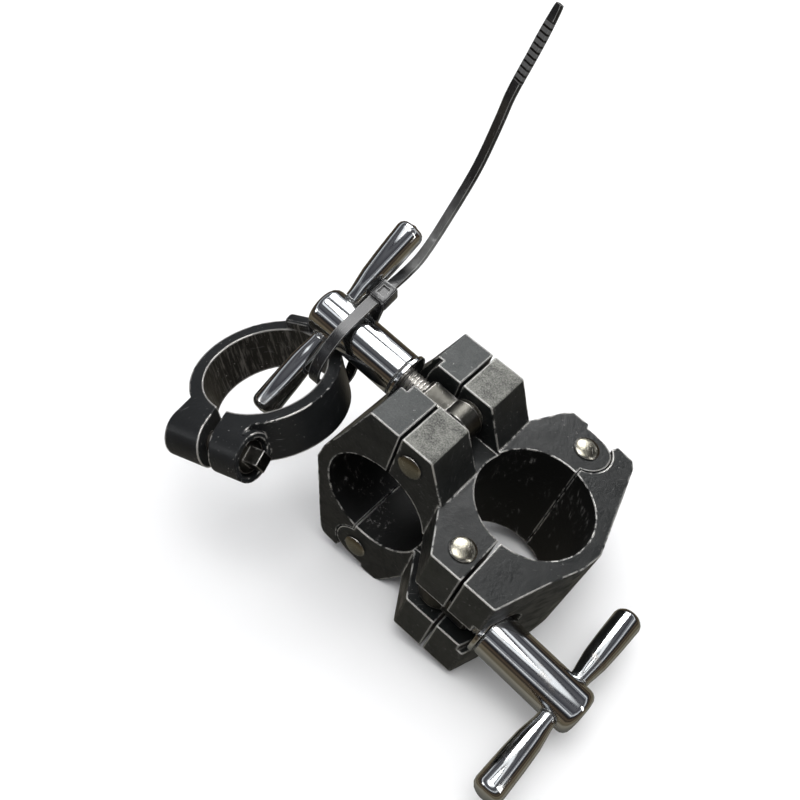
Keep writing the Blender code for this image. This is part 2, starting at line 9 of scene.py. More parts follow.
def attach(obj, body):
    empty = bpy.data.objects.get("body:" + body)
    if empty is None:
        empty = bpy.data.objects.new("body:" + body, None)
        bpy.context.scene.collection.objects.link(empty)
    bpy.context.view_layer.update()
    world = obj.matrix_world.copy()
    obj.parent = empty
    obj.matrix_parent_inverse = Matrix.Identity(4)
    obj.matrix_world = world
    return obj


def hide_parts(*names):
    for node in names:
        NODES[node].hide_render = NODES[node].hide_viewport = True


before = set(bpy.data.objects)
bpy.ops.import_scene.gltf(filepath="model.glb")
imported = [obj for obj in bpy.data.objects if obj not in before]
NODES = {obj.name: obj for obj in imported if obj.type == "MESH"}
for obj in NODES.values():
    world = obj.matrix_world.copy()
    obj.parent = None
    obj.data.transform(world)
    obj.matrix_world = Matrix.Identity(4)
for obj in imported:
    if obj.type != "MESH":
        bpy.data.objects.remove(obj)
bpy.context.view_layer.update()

MM = 0.001

# The clamp's own frame, as it lies on the floor, and the frames of its two halves
LEAN = math.radians(15.66)
REST_SHIFT = Vector((11.12, 5.59, 34.09)) * MM
BORE_OFFSET = 19.3 * MM
BORE_RADIUS = 19.05
EAR_END = 36.5
CLAMP = Matrix.Translation(REST_SHIFT) @ Matrix.Rotation(LEAN, 4, "Y")
UNIT_A = CLAMP @ Matrix.Translation((BORE_OFFSET, 0, 0))
UNIT_B = CLAMP @ Matrix(
    ((-1, 0, 0, -BORE_OFFSET), (0, 0, -1, 0), (0, -1, 0, 0), (0, 0, 0, 1))
)
PIVOT = Matrix.Translation((-6.0 * MM, -29.0 * MM, 0)) @ Matrix.Rotation(
    math.radians(-2.3), 4, "Z"
)

# Swing bolt, in millimetres from its pivot
EYE_RADIUS = 6.4
EYE_THICKNESS = 7.4
EYE_EDGE = 0.35
SHANK_END = 14.0
SHANK_HALF = 4.5
SHANK_CORNER = (1.2, 1.0)
EYE_STEPS = 28
BOLT_END = 41.0
THREAD_CREST = 4.0
THREAD_ROOT = 3.35
THREAD_PITCH = 1.25
THREAD_FLANK = 1.35
THREAD_RUNOUT = 1.2
THREAD_RINGS_PER_TURN = 8
ROD_SIDES = 28
ROD_OVERLAP = 1.0

# Memory-lock collar
COLLAR_CENTRE = Vector((-71.3, -21.6, 15.3)) * MM
COLLAR_AXIS = Vector((-0.401, -0.098, 0.911)).normalized()
COLLAR_BORE = 20.05

# Ribs near the tip of the cable tie, along this direction of the clamp's frame
RIB_DIRECTION = (0.0, 0.35, 0.937)
RIBS = (114.7, 133.4)
RIB_PITCH = 1.75

# Where a painted highlight lies on its tail near the head, along the same direction
TAIL_HIGHLIGHT_SPAN = (49.0, 52.0, 60.0, 84.0)

# Imported meshes: corners closer than this are one, and edges sharper than this stay crisp
WELD_REACH = 0.002 * MM
CRISP_ANGLE = math.radians(32)

# How metallic the bare metal under worn paint is: kept partly diffuse, so that worn edges and chips stay
# bright under any light as a painted highlight
BARE_METALLIC = 0.65

# How far a noise's shift moves it along each axis, so that no two layers line up
SHIFT_AXES = (1.0, 1.7, 0.6)

# Linear colours. A pair goes from its dark tone to its light one.
BLACK_PAINT = ((0.004, 0.0045, 0.0045), (0.013, 0.0145, 0.0145))
BORE_SHADE = (0.0025, 0.0025, 0.0025)
PAINT_DUST = (0.08, 0.078, 0.07)
PAINT_SCRATCH = (0.24, 0.24, 0.24)
# Bare metal on worn edges, chips and scuffs: real wear, and also a painted highlight because it is partly
# diffuse.
BARE_CASTING = ((0.42, 0.41, 0.38), (0.90, 0.89, 0.86))
SANDY_EAR = ((0.022, 0.023, 0.020), (0.26, 0.26, 0.235))
SLATE_EAR = ((0.040, 0.043, 0.043), (0.080, 0.085, 0.083))
# Painted shade: half A's ear ends get this darker copy of the raw ear tones.
SHADED_EAR = ((0.014, 0.0145, 0.012), (0.027, 0.0275, 0.023))

COLLAR_PAINT = ((0.006, 0.0065, 0.007), (0.014, 0.015, 0.016))
COLLAR_WALL = ((0.010, 0.009, 0.007), (0.042, 0.036, 0.027))
COLLAR_SCRATCH = (0.30, 0.30, 0.31)
# Bare metal on the collar's worn edges and lip: real wear, and also a painted highlight because it is partly
# diffuse.
BARE_COLLAR = ((0.55, 0.53, 0.50), (0.92, 0.90, 0.87))

CHROME = ((0.66, 0.675, 0.68), (0.83, 0.848, 0.852))
CHROME_TARNISH = (0.46, 0.38, 0.30)
CHROME_DARK = (0.09, 0.08, 0.07)

PIN_STEEL = ((0.17, 0.16, 0.12), (0.40, 0.38, 0.32))
BOLT_STEEL = ((0.42, 0.40, 0.36), (0.74, 0.72, 0.68))
SHADED_EYE_STEEL = ((0.02, 0.02, 0.018), (0.13, 0.125, 0.11))
STEEL_BARE_AND_HIGHLIGHT = (0.86, 0.84, 0.80)
STEEL_DIRT_AND_SHADE = (0.06, 0.05, 0.04)

NYLON = ((0.007, 0.007, 0.008), (0.018, 0.018, 0.019))
NYLON_TAIL_HIGHLIGHT = (0.20, 0.20, 0.196)
NYLON_SCRATCH = (0.20, 0.20, 0.20)
NYLON_EDGE_HIGHLIGHT = (0.34, 0.34, 0.33)
NYLON_RIB = (0.10, 0.10, 0.10)
NYLON_GROOVE_SHADE = (0.001, 0.001, 0.001)

# Floor and surround, in metres, and where the floor's own light starts and is full, in millimetres
FLOOR_HALF = 3.0
BACKDROP_RADIUS = 2.9
FLOOR_GLOW = (300, 1000)
FLOOR_TONES = ((0.83, 0.83, 0.83), (0.85, 0.85, 0.85))
WHITE = (1.0, 1.0, 1.0, 1.0)
BLACK = (0.0, 0.0, 0.0, 1.0)

# What the lights point at
MIDDLE = Vector((-0.02, 0.0, 0.05))

# The room that shows in reflections: colours from straight below (0) to straight above (1)
ROOM_BANDS = (
    (0.00, (0.10, 0.10, 0.09)),
    (0.20, (0.24, 0.22, 0.18)),
    (0.28, (0.11, 0.095, 0.065)),
    (0.40, (0.16, 0.13, 0.09)),
    (0.46, (0.03, 0.025, 0.02)),
    (0.54, (0.09, 0.065, 0.045)),
    (0.60, (0.02, 0.017, 0.015)),
    (0.66, (0.02, 0.02, 0.025)),
    (0.70, (0.17, 0.18, 0.20)),
    (0.725, (0.95, 0.97, 1.00)),
    (0.74, (0.95, 0.97, 1.00)),
    (0.755, (0.07, 0.07, 0.08)),
    (0.79, (0.30, 0.31, 0.33)),
    (0.81, (0.04, 0.04, 0.05)),
    (0.90, (0.12, 0.12, 0.13)),
    (0.93, (0.04, 0.04, 0.05)),
    (0.94, (1.10, 1.12, 1.15)),
    (0.96, (1.10, 1.12, 1.15)),
    (0.97, (0.03, 0.03, 0.04)),
    (1.00, (0.16, 0.16, 0.17)),
)

# Camera: its place from the clamp's origin, and where it and its right side point
CAMERA_PLACE = REST_SHIFT + Vector((104.96, -170.30, 231.32)) * MM
CAMERA_AIM = Vector((-0.4459, 0.5743, -0.6865))
CAMERA_RIGHT = Vector((0.7792, 0.6265, 0.0180))
CAMERA_LENS = 42.34
CAMERA_SENSOR = 36


# Node helper


class Look:
    """A material, with short calls for the nodes it is made of. Lengths are in millimetres."""

    def __init__(self, name, axes=None):
        self.material = bpy.data.materials.new(name)
        self.material.use_nodes = True
        self.tree = self.material.node_tree
        self.shader = self.tree.nodes["Principled BSDF"]
        self.place = self.place_in(axes)

    def add(self, kind, inputs=(), **settings):
        node = self.tree.nodes.new(kind)
        for key, value in settings.items():
            setattr(node, key, value)
        for key, value in dict(inputs).items():
            self.put(node.inputs[key], value)
        return node

    def put(self, socket, value):
        if isinstance(value, bpy.types.NodeSocket):
            self.tree.links.new(value, socket)
        else:
            socket.default_value = value

    def place_in(self, axes=None):
        """Place in millimetres along an empty's axes, or along the object's own."""
        coordinates = self.add("ShaderNodeTexCoord")
        if axes:
            coordinates.object = axes
        inputs = {"Vector": coordinates.outputs["Object"], "Scale": (1 / MM,) * 3}
        return self.add("ShaderNodeMapping", inputs).outputs[0]

    def noise(self, size, detail=3.0, rough=0.55, stretch=(1, 1, 1), place=None, shift=0.0):
        """Noise with features about this size, longer along an axis whose stretch is above 1."""
        vector = self.add(
            "ShaderNodeMapping",
            {
                "Vector": place or self.place,
                "Scale": tuple(1 / (size * s) for s in stretch),
                "Location": tuple(shift * s for s in SHIFT_AXES),
            },
        ).outputs[0]
        inputs = {"Vector": vector, "Scale": 1.0, "Detail": detail, "Roughness": rough}
        return self.add("ShaderNodeTexNoise", inputs).outputs["Fac"]

    def between(self, value, low, high, start=0.0, end=1.0):
        """Value from low to high, mapped smoothly to start to end."""
        inputs = {"Value": value, "From Min": low, "From Max": high, "To Min": start, "To Max": end}
        return self.add("ShaderNodeMapRange", inputs, interpolation_type="SMOOTHSTEP").outputs[0]

    def math(self, kind, first, second=0.0):
        return self.add("ShaderNodeMath", {0: first, 1: second}, operation=kind).outputs[0]

    def fold(self, kind, values):
        result = values[0]
        for value in values[1:]:
            result = self.math(kind, result, value)
        return result

    def plus(self, *values):
        return self.fold("ADD", values)

    def minus(self, *values):
        return self.fold("SUBTRACT", values)

    def times(self, *values):
        return self.fold("MULTIPLY", values)

    def most(self, *values):
        return self.fold("MAXIMUM", values)

    def dot(self, first, second):
        inputs = {0: first, 1: second}
        return self.add("ShaderNodeVectorMath", inputs, operation="DOT_PRODUCT").outputs["Value"]

    def blend(self, share, first, second):
        """A number from first to second."""
        return self.add("ShaderNodeMix", {"Factor": share, "A": first, "B": second}).outputs[0]

    def tint(self, share, first, second):
        """A colour from first to second."""
        node = self.add("ShaderNodeMix", data_type="RGBA")
        self.put(node.inputs[0], share)
        for socket, colour in ((node.inputs[6], first), (node.inputs[7], second)):
            self.put(socket, colour if isinstance(colour, bpy.types.NodeSocket) else (*colour, 1.0))
        return node.outputs[2]

    def rounded(self, radius):
        """The surface's direction, with its edges rounded off to this radius."""
        return self.add("ShaderNodeBevel", {"Radius": radius * MM}, samples=6).outputs[0]

    def edges(self, radius=1.1, low=0.010, high=0.07):
        """1 on edges and 0 on flat ground, from how far a rounded normal turns."""
        flat = self.add("ShaderNodeNewGeometry").outputs["True Normal"]
        return self.between(self.minus(1.0, self.dot(self.rounded(radius), flat)), low, high)

    def open_air(self, reach):
        """1 in the open and 0 in corners."""
        inputs = {"Distance": reach * MM}
        return self.add("ShaderNodeAmbientOcclusion", inputs, samples=4).outputs["AO"]

    def bump(self, height, depth, normal=None, strength=1.0):
        inputs = {"Height": height, "Distance": depth * MM, "Strength": strength}
        node = self.add("ShaderNodeBump", inputs)
        if normal:
            self.put(node.inputs["Normal"], normal)
        return node.outputs[0]

    def split(self, vector):
        return self.add("ShaderNodeSeparateXYZ", {0: vector}).outputs

    def radius_in(self, axes):
        """Distance from those axes' Z."""
        x, y, _ = self.split(self.place_in(axes))
        return self.math("SQRT", self.plus(self.times(x, x), self.times(y, y)))

    def depth_in(self, axes):
        """How far below those axes' origin, along their Y."""
        _, y, _ = self.split(self.place_in(axes))
        return self.times(y, -1.0)

    def shade(self, **inputs):
        """Sets the shader's inputs, which are named with _ for each space, and gives the material."""
        for key, value in inputs.items():
            self.put(self.shader.inputs[key.replace("_", " ")], value)
        return self.material

    def finish(self, colour, rough, metal, normal, **extra):
        return self.shade(Base_Color=colour, Roughness=rough, Metallic=metal, Normal=normal, **extra)


def axes_on(name, matrix, body):
    """An empty that carries texture coordinates along with a body."""
    empty = bpy.data.objects.new(name, None)
    bpy.context.scene.collection.objects.link(empty)
    empty.matrix_world = matrix
    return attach(empty, body)


# Materials


def scratches(look, width, length, share, turn, shift):
    """Fine straight scratches about this wide and long, in patches."""
    inputs = {"Vector": look.place, "Rotation": turn}
    turned = look.add("ShaderNodeMapping", inputs).outputs[0]
    stretch = (1, length / width, length / width / 2)
    lines = look.noise(width, 2.0, 0.4, stretch, turned, shift)
    patch = look.noise(9.0, 2.0, 0.5, shift=shift + 3.0)
    return look.times(
        look.between(lines, 1 - share, 1.04 - share), look.between(patch, 0.46, 0.58)
    )


def inside_bores(look, bores):
    """1 on the walls of these bores."""
    inside = 0.0
    for bore in bores:
        wall = look.between(look.radius_in(bore), BORE_RADIUS + 0.25, BORE_RADIUS + 0.1)
        inside = look.most(inside, wall)
    return inside


def rubbed_edges(look, patch, air, ears, seed):
    """1 where handling has rubbed the paint off an edge, above all round the ear ends."""
    handled = look.between(look.noise(19.0, 3.0, 0.6, shift=seed + 3), 0.42, 0.60, -0.16, 0.20)
    for ear, _ in ears:
        rim = look.between(look.depth_in(ear), EAR_END - 1.6, EAR_END - 0.4)
        handled = look.most(handled, look.times(rim, 0.24))
    rubbed = look.between(look.times(look.edges(), look.plus(patch, handled)), 0.42, 0.60)
    return look.times(rubbed, look.between(air, 0.45, 0.75))


def paint_chips(look, cloud, inside, seed):
    """Small chips in patches, outside the bores."""
    flecks = look.between(look.noise(0.95, 6.0, 0.7, shift=seed + 7), 0.65, 0.68)
    return look.times(flecks, look.between(cloud, 0.50, 0.62), look.minus(1.0, inside))


def bore_scuffs(look, inside, seed):
    """Where tubes have slid along a bore."""
    marks = look.between(look.noise(1.5, 6.0, 0.75, (1, 1, 3.5), shift=seed + 4), 0.54, 0.70)
    patch = look.between(look.noise(12.0, 2.0, 0.5, shift=seed + 6), 0.50, 0.62, 0.0, 0.35)
    return look.times(inside, marks, patch)


def cast_pits(look, seed):
    """The sandy skin of a raw casting, fine over coarse."""
    fine = look.between(look.noise(0.5, 5.0, 0.7, shift=seed + 8), 0.34, 0.70)
    coarse = look.between(look.noise(6.0, 3.0, 0.6, shift=seed + 8), 0.35, 0.65)
    return look.blend(0.35, fine, coarse)


def painted_casting(name, bores, ears, seed=0.0):
    """Black paint on a casting: orange peel, worn bright edges with a painted highlight, chips, dust in
    corners, rubbed bores darkened as painted shade.

    Ears pairs the axes of a half with the tones of its ear ends, darker one first: worn cast skin on half B,
    and on half A a darker copy as painted shade.
    """
    look = Look(name)
    air = look.open_air(2.5)
    cloud = look.noise(14.0, 3.0, 0.55, shift=seed)
    patch = look.noise(2.6, 4.0, 0.62, shift=seed + 5)
    grain = look.noise(0.42, 5.0, 0.6, shift=seed + 9)
    peel = look.noise(1.3, 2.0, 0.5, shift=seed + 2)

    inside = inside_bores(look, bores)
    chips = paint_chips(look, cloud, inside, seed)
    rubbed = rubbed_edges(look, patch, air, ears, seed)
    bare = look.most(rubbed, chips, bore_scuffs(look, inside, seed))
    lines = look.most(
        scratches(look, 0.16, 9.0, 0.30, (0.3, 0.5, 0.7), seed),
        scratches(look, 0.14, 7.0, 0.29, (1.1, -0.6, 2.2), seed + 11),
    )
    dust = look.times(look.between(patch, 0.42, 0.75), look.between(air, 1.0, 0.6, 0.15, 1.0))
    ends = [look.between(look.depth_in(ear), EAR_END, EAR_END + 0.5) for ear, _ in ears]
    raw = look.most(*ends)
    pitted = cast_pits(look, seed)

    paint = look.tint(cloud, *BLACK_PAINT)
    paint = look.tint(look.times(dust, 0.20), paint, PAINT_DUST)
    for end, (_, tones) in zip(ends, ears):
        paint = look.tint(end, paint, look.tint(pitted, *tones))
    paint = look.tint(look.times(lines, 0.30), paint, PAINT_SCRATCH)
    # Painted shade: the bore walls are darkened nearly to black.
    paint = look.tint(look.times(inside, 0.9), paint, BORE_SHADE)
    colour = look.tint(bare, paint, look.tint(grain, *BARE_CASTING))

    smudge = look.between(look.noise(5.0, 5.0, 0.65, (1, 2, 1), shift=seed + 1), 0.38, 0.66)
    dull = look.most(look.times(dust, 0.6), look.times(raw, 0.7), inside)
    rough = look.blend(dull, look.blend(smudge, 0.28, 0.50), 0.62)
    rough = look.blend(bare, rough, look.blend(grain, 0.28, 0.46))
    metal = look.times(look.most(bare, look.times(lines, 0.25)), BARE_METALLIC)

    height = look.plus(look.times(peel, 0.8), look.times(grain, 0.45))
    height = look.minus(height, look.times(chips, 0.9), look.times(lines, 0.3))
    height = look.plus(height, look.times(raw, pitted, 0.8))
    normal = look.bump(height, 0.12, look.rounded(0.8), 0.8)
    return look.finish(colour, rough, metal, normal, Specular_IOR_Level=0.30)


def collar_paint(name, ring):
    """The collar's paint: satin, a bright inner rim of worn metal with a painted highlight, and an inner wall
    rubbed along the tube.
    """
    look = Look(name, ring)
    air = look.open_air(2.5)
    cloud = look.noise(11.0, 3.0, 0.55, shift=21.0)
    patch = look.noise(2.2, 4.0, 0.62, shift=23.0)
    grain = look.noise(0.40, 5.0, 0.6, shift=25.0)
    radius = look.radius_in(ring)
    edge = look.edges()

    inside = look.between(radius, COLLAR_BORE + 0.25, COLLAR_BORE + 0.08)
    # Worn metal with a painted highlight: a bright band round the bore's lip.
    worn_lip_highlight = look.times(look.between(radius, COLLAR_BORE + 1.0, COLLAR_BORE + 0.2), edge)
    handled = look.between(look.noise(15.0, 3.0, 0.6, shift=28.0), 0.42, 0.62, -0.10, 0.22)
    rubbed = look.between(look.times(edge, look.plus(patch, handled)), 0.44, 0.60)
    rubbed = look.times(look.most(rubbed, look.times(worn_lip_highlight, 0.6)), look.between(air, 0.45, 0.8))
    chips = look.times(
        look.between(look.noise(0.9, 6.0, 0.7, shift=27.0), 0.655, 0.68),
        look.between(cloud, 0.46, 0.58),
    )
    streaks = look.between(look.noise(0.9, 5.0, 0.7, (1, 1, 9), shift=29.0), 0.48, 0.66)
    lines = scratches(look, 0.15, 8.0, 0.30, (0.2, 0.9, 0.4), 31.0)
    bare = look.most(rubbed, chips, look.times(inside, streaks, 0.07))

    paint = look.tint(cloud, *COLLAR_PAINT)
    paint = look.tint(look.times(inside, 0.9), paint, look.tint(streaks, *COLLAR_WALL))
    paint = look.tint(look.times(lines, 0.6), paint, COLLAR_SCRATCH)
    colour = look.tint(bare, paint, look.tint(grain, *BARE_COLLAR))
    rough = look.blend(bare, look.blend(cloud, 0.26, 0.42), look.blend(grain, 0.26, 0.44))

    height = look.plus(look.times(look.noise(1.2, 2.0, 0.5), 0.7), look.times(grain, 0.5))
    height = look.minus(height, look.times(chips, 0.9))
    height = look.plus(height, look.times(inside, streaks, 0.8))
    normal = look.bump(height, 0.11, look.rounded(0.8), 0.75)
    metal = look.times(bare, BARE_METALLIC)
    return look.finish(colour, rough, metal, normal, Specular_IOR_Level=0.28)


def chrome(name, axis, seed):
    """Polished chrome: clean and bright, with hairlines round the axis, faint tarnish and dull specks."""
    look = Look(name, axis)
    air = look.open_air(2.0)
    hair = look.noise(0.10, 3.0, 0.6, (1, 26, 26), shift=seed)
    long_hair = look.noise(0.12, 3.0, 0.6, (30, 1, 1), shift=seed + 1)
    cloud = look.noise(7.0, 3.0, 0.6, shift=seed + 2)
    specks = look.between(look.noise(0.7, 6.0, 0.75, shift=seed + 3), 0.68, 0.72)
    stain = look.between(look.noise(4.0, 5.0, 0.65, (2.2, 1, 1), shift=seed + 4), 0.52, 0.74)
    # Darker and less metallic towards corners.
    darkening = look.times(look.between(air, 0.85, 0.4), look.between(cloud, 0.35, 0.6), 0.8)

    colour = look.tint(cloud, *CHROME)
    colour = look.tint(look.times(stain, 0.45), colour, CHROME_TARNISH)
    colour = look.tint(look.most(look.times(specks, 0.6), darkening), colour, CHROME_DARK)
    rough = look.plus(
        look.blend(cloud, 0.045, 0.10),
        look.times(look.between(hair, 0.4, 0.8), 0.07),
        look.times(look.most(specks, stain), 0.12),
    )
    height = look.plus(look.times(hair, 0.25), look.times(long_hair, 0.3))
    height = look.minus(height, look.times(specks, 0.6))
    normal = look.bump(height, 0.008, look.rounded(0.35), 0.4)
    return look.finish(colour, rough, look.blend(darkening, 1.0, 0.6), normal)


def worn_steel(name, tones, roughs, seed, dirt_and_shade):
    """Plated steel: soft dents, scratches both ways, bright edges of rubbed metal with a painted highlight,
    dirt specks, and painted shade in the corners.
    """
    look = Look(name)
    air = look.open_air(1.6)
    cloud = look.noise(3.5, 4.0, 0.6, shift=seed)
    grain = look.noise(0.30, 5.0, 0.65, shift=seed + 2)
    dents = look.noise(1.6, 3.0, 0.5, shift=seed + 4)
    lines = look.most(
        scratches(look, 0.12, 5.0, 0.32, (0.4, 0.2, 1.0), seed),
        scratches(look, 0.12, 5.0, 0.32, (1.2, 0.7, 0.1), seed + 6),
    )
    # Painted shade: darker and duller in corners, with dirt specks added over it.
    darkening = look.times(look.between(air, 0.9, 0.45), look.between(cloud, 0.3, 0.6), dirt_and_shade)
    darkening = look.most(darkening, look.times(look.between(grain, 0.62, 0.7), dirt_and_shade, 0.6))
    # Painted highlight with rubbed metal: a bright rim along the edges, which makes a bright crescent on the
    # pins' domes.
    rim = look.times(look.edges(0.8), look.between(cloud, 0.30, 0.5), 0.85)

    colour = look.tint(look.most(rim, look.times(lines, 0.5)), look.tint(cloud, *tones), STEEL_BARE_AND_HIGHLIGHT)
    colour = look.tint(darkening, colour, STEEL_DIRT_AND_SHADE)
    rough = look.plus(look.blend(cloud, *roughs), look.times(darkening, 0.35))
    height = look.plus(dents, look.times(grain, 0.4))
    height = look.minus(height, look.times(lines, 0.5))
    normal = look.bump(height, 0.07, look.rounded(0.4), 0.8)
    return look.finish(colour, rough, look.blend(darkening, 1.0, 0.3), normal)


def nylon(name, clamp):
    """Black nylon: glossy, slightly wavy, with painted highlights along its edges and on its tail near the
    head, and ribs near the tail's tip with painted shade between them.
    """
    look = Look(name, clamp)
    cloud = look.noise(5.0, 3.0, 0.5, shift=41.0)
    grain = look.noise(0.35, 4.0, 0.6, shift=43.0)
    lines = scratches(look, 0.12, 6.0, 0.31, (0.9, 0.2, 0.3), 45.0)
    # Painted highlight: a pale line along the tie's edges.
    edge_highlight = look.times(look.edges(0.40), look.between(cloud, 0.30, 0.55, 0.35, 1.0))
    along = look.dot(look.place, RIB_DIRECTION)
    # Painted highlight: the tail is paler over a span near the head.
    tail_highlight = look.times(
        look.between(along, TAIL_HIGHLIGHT_SPAN[0], TAIL_HIGHLIGHT_SPAN[1]),
        look.between(along, TAIL_HIGHLIGHT_SPAN[3], TAIL_HIGHLIGHT_SPAN[2]),
        look.between(cloud, 0.25, 0.70, 0.5, 1.0),
    )
    ribbed = look.times(
        look.between(along, RIBS[0], RIBS[0] + 0.5), look.between(along, RIBS[1], RIBS[1] - 0.5)
    )
    gap = look.math("PINGPONG", along, RIB_PITCH / 2)
    gap = look.times(ribbed, look.between(gap, RIB_PITCH * 0.20, RIB_PITCH * 0.12))

    colour = look.tint(cloud, *NYLON)
    colour = look.tint(look.times(tail_highlight, 0.8), colour, NYLON_TAIL_HIGHLIGHT)
    colour = look.tint(look.times(lines, 0.5), colour, NYLON_SCRATCH)
    colour = look.tint(look.times(edge_highlight, 0.8), colour, NYLON_EDGE_HIGHLIGHT)
    colour = look.tint(look.times(ribbed, 0.8), colour, NYLON_RIB)
    # Painted shade: the grooves between the ribs are darkened nearly to black.
    colour = look.tint(gap, colour, NYLON_GROOVE_SHADE)
    rough = look.plus(look.blend(cloud, 0.20, 0.32), look.times(lines, 0.25))
    height = look.plus(look.times(cloud, 0.6), look.times(grain, 0.15))
    height = look.minus(height, look.times(gap, 2.0))
    normal = look.bump(height, 0.12, look.rounded(0.25), 0.7)
    return look.finish(colour, rough, 0.0, normal, Coat_Weight=0.35, Coat_Roughness=0.08)


# Pieces


def smooth_shading(node):
    """Joins the imported corners, so that round faces shade smoothly and edges stay crisp."""
    mesh = node.data
    if "custom_normal" in mesh.attributes:
        mesh.attributes.remove(mesh.attributes["custom_normal"])
    mesh.shade_smooth()
    weld = node.modifiers.new("weld", "WELD")
    weld.merge_threshold = WELD_REACH
    split = node.modifiers.new("crisp", "EDGE_SPLIT")
    split.split_angle = CRISP_ANGLE


def dress(names, material):
    for name in names:
        node = NODES[name]
        smooth_shading(node)
        node.data.materials.clear()
        node.data.materials.append(material)


def mesh_object(name, points, faces, material, matrix, body):
    """A piece from points in millimetres in its own frame."""
    mesh = bpy.data.meshes.new(name)
    mesh.from_pydata([tuple(c * MM for c in p) for p in points], [], faces)
    mesh.validate()
    mesh.materials.append(material)
    made = bpy.data.objects.new(name, mesh)
    bpy.context.scene.collection.objects.link(made)
    made.matrix_world = matrix
    mesh.shade_smooth()
    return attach(made, body)


def tube_of(rings, around):
    """Faces that join rings of that many points, with both ends closed."""
    faces = []
    for i in range(rings - 1):
        for k in range(around):
            n = (k + 1) % around
            faces.append((i * around + k, i * around + n, (i + 1) * around + n, (i + 1) * around + k))
    faces.append(tuple(reversed(range(around))))
    faces.append(tuple((rings - 1) * around + k for k in range(around)))
    return faces


def thread_radius(x, share):
    """The thread's radius at a place along the rod and a share of the way round it."""
    phase = (x / THREAD_PITCH - share) % 1.0
    ridge = min(1.0, max(0.0, THREAD_FLANK * (1 - abs(2 * phase - 1))))
    taper = min(1.0, (BOLT_END - x) / THREAD_RUNOUT)
    return THREAD_ROOT + (THREAD_CREST - THREAD_ROOT) * ridge * taper


def threaded_rod(name, material, matrix, body):
    """A rod with a real helical thread, along its own X."""
    start = SHANK_END - ROD_OVERLAP
    step = THREAD_PITCH / THREAD_RINGS_PER_TURN
    rings = int((BOLT_END - start) / step) + 1
    points = []
    for i in range(rings):
        x = start + i * step
        for k in range(ROD_SIDES):
            radius = thread_radius(x, k / ROD_SIDES)
            turn = 2 * math.pi * k / ROD_SIDES
            points.append((x, radius * math.cos(turn), radius * math.sin(turn)))
    faces = tube_of(rings, ROD_SIDES)
    return mesh_object(name, points, faces, material, matrix, body)


def eye_outline():
    """The eye's arc, then the shank's end with its corners cut."""
    first = math.asin(SHANK_HALF / EYE_RADIUS)
    turns = [first + (2 * math.pi - 2 * first) * i / EYE_STEPS for i in range(EYE_STEPS + 1)]
    outline = [(EYE_RADIUS * math.cos(turn), EYE_RADIUS * math.sin(turn)) for turn in turns]
    back, side = SHANK_CORNER
    outline += [(SHANK_END - back, -SHANK_HALF), (SHANK_END, -SHANK_HALF + side)]
    outline += [(SHANK_END, SHANK_HALF - side), (SHANK_END - back, SHANK_HALF)]
    return outline


def eye_and_shank(name, material, matrix, body):
    """The bolt's flat eye and shank in one outline, with rounded edges."""
    outline = eye_outline()
    half = EYE_THICKNESS / 2
    inner = half - EYE_EDGE
    points = []
    for height, shrink in ((-half, EYE_EDGE), (-inner, 0), (inner, 0), (half, EYE_EDGE)):
        for x, y in outline:
            k = 1 - shrink / math.hypot(x, y)
            points.append((x * k, y * k, height))
    faces = tube_of(4, len(outline))
    made = mesh_object(name, points, faces, material, matrix, body)
    made.data.set_sharp_from_angle(angle=CRISP_ANGLE)
    return made


def build_castings():
    bore_a = axes_on("bore_space_a", UNIT_A, "casting")
    bore_b = axes_on("bore_space_b", UNIT_B, "casting")
    ears = [(bore_a, SHADED_EAR), (bore_b, SANDY_EAR)]
    dress(["clamp_body"], painted_casting("cast_black_body", [bore_a, bore_b], ears))
    for letter, unit, tones, seed in (("a", UNIT_A, SHADED_EAR, 60.0), ("b", UNIT_B, SLATE_EAR, 90.0)):
        jaw = "jaw_" + letter
        bore = axes_on("jaw_space_" + letter, unit, jaw)
        dress([jaw], painted_casting("cast_black_" + jaw, [bore], [(bore, tones)], seed))


def build_collar_and_tie():
    across = Vector((0, 1, 0)).cross(COLLAR_AXIS).normalized()
    turn = Matrix((across, COLLAR_AXIS.cross(across), COLLAR_AXIS)).transposed().to_4x4()
    ring = axes_on("ring_space", CLAMP @ Matrix.Translation(COLLAR_CENTRE) @ turn, "lock_collar")
    dress(["memory_lock_collar"], collar_paint("cast_black_collar", ring))
    tie_axes = axes_on("tie_space", CLAMP, "lock_collar")
    dress(["cable_tie"], nylon("tie_nylon", tie_axes))


def build_hardware():
    pin = worn_steel("pin_steel", PIN_STEEL, (0.14, 0.26), 3.0, 0.7)
    bolt = worn_steel("bolt_steel", BOLT_STEEL, (0.16, 0.30), 13.0, 0.8)
    # Painted shade: the bolt's eye and shank get a much darker copy of the bolt's steel, and the key screw
    # shares it.
    eye = worn_steel("bolt_steel_eye", SHADED_EYE_STEEL, (0.24, 0.42), 33.0, 0.9)
    dress(["collar_key_screw"], eye)
    for letter, unit, seed in (("a", UNIT_A, 51.0), ("b", UNIT_B, 71.0)):
        dress([kind + letter for kind in ("hinge_pin_", "pivot_pin_", "pivot_spacer_")], pin)

        body = "bolt_" + letter
        dress(["swing_" + body], bolt)
        rod = threaded_rod("bolt_thread_" + letter, bolt, unit @ PIVOT, body)
        eye_and_shank("bolt_eye_" + letter, eye, unit @ PIVOT, body)
        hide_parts("swing_" + body)

        axis = axes_on("nut_space_" + letter, unit @ PIVOT, "nut_" + letter)
        arm = "t_arm_" + letter
        names = ["washer_" + letter, "t_nut_" + letter, arm + "_1", arm + "_2"]
        dress(names, chrome("nut_chrome_" + letter, axis, seed))


# Floor, lights and camera


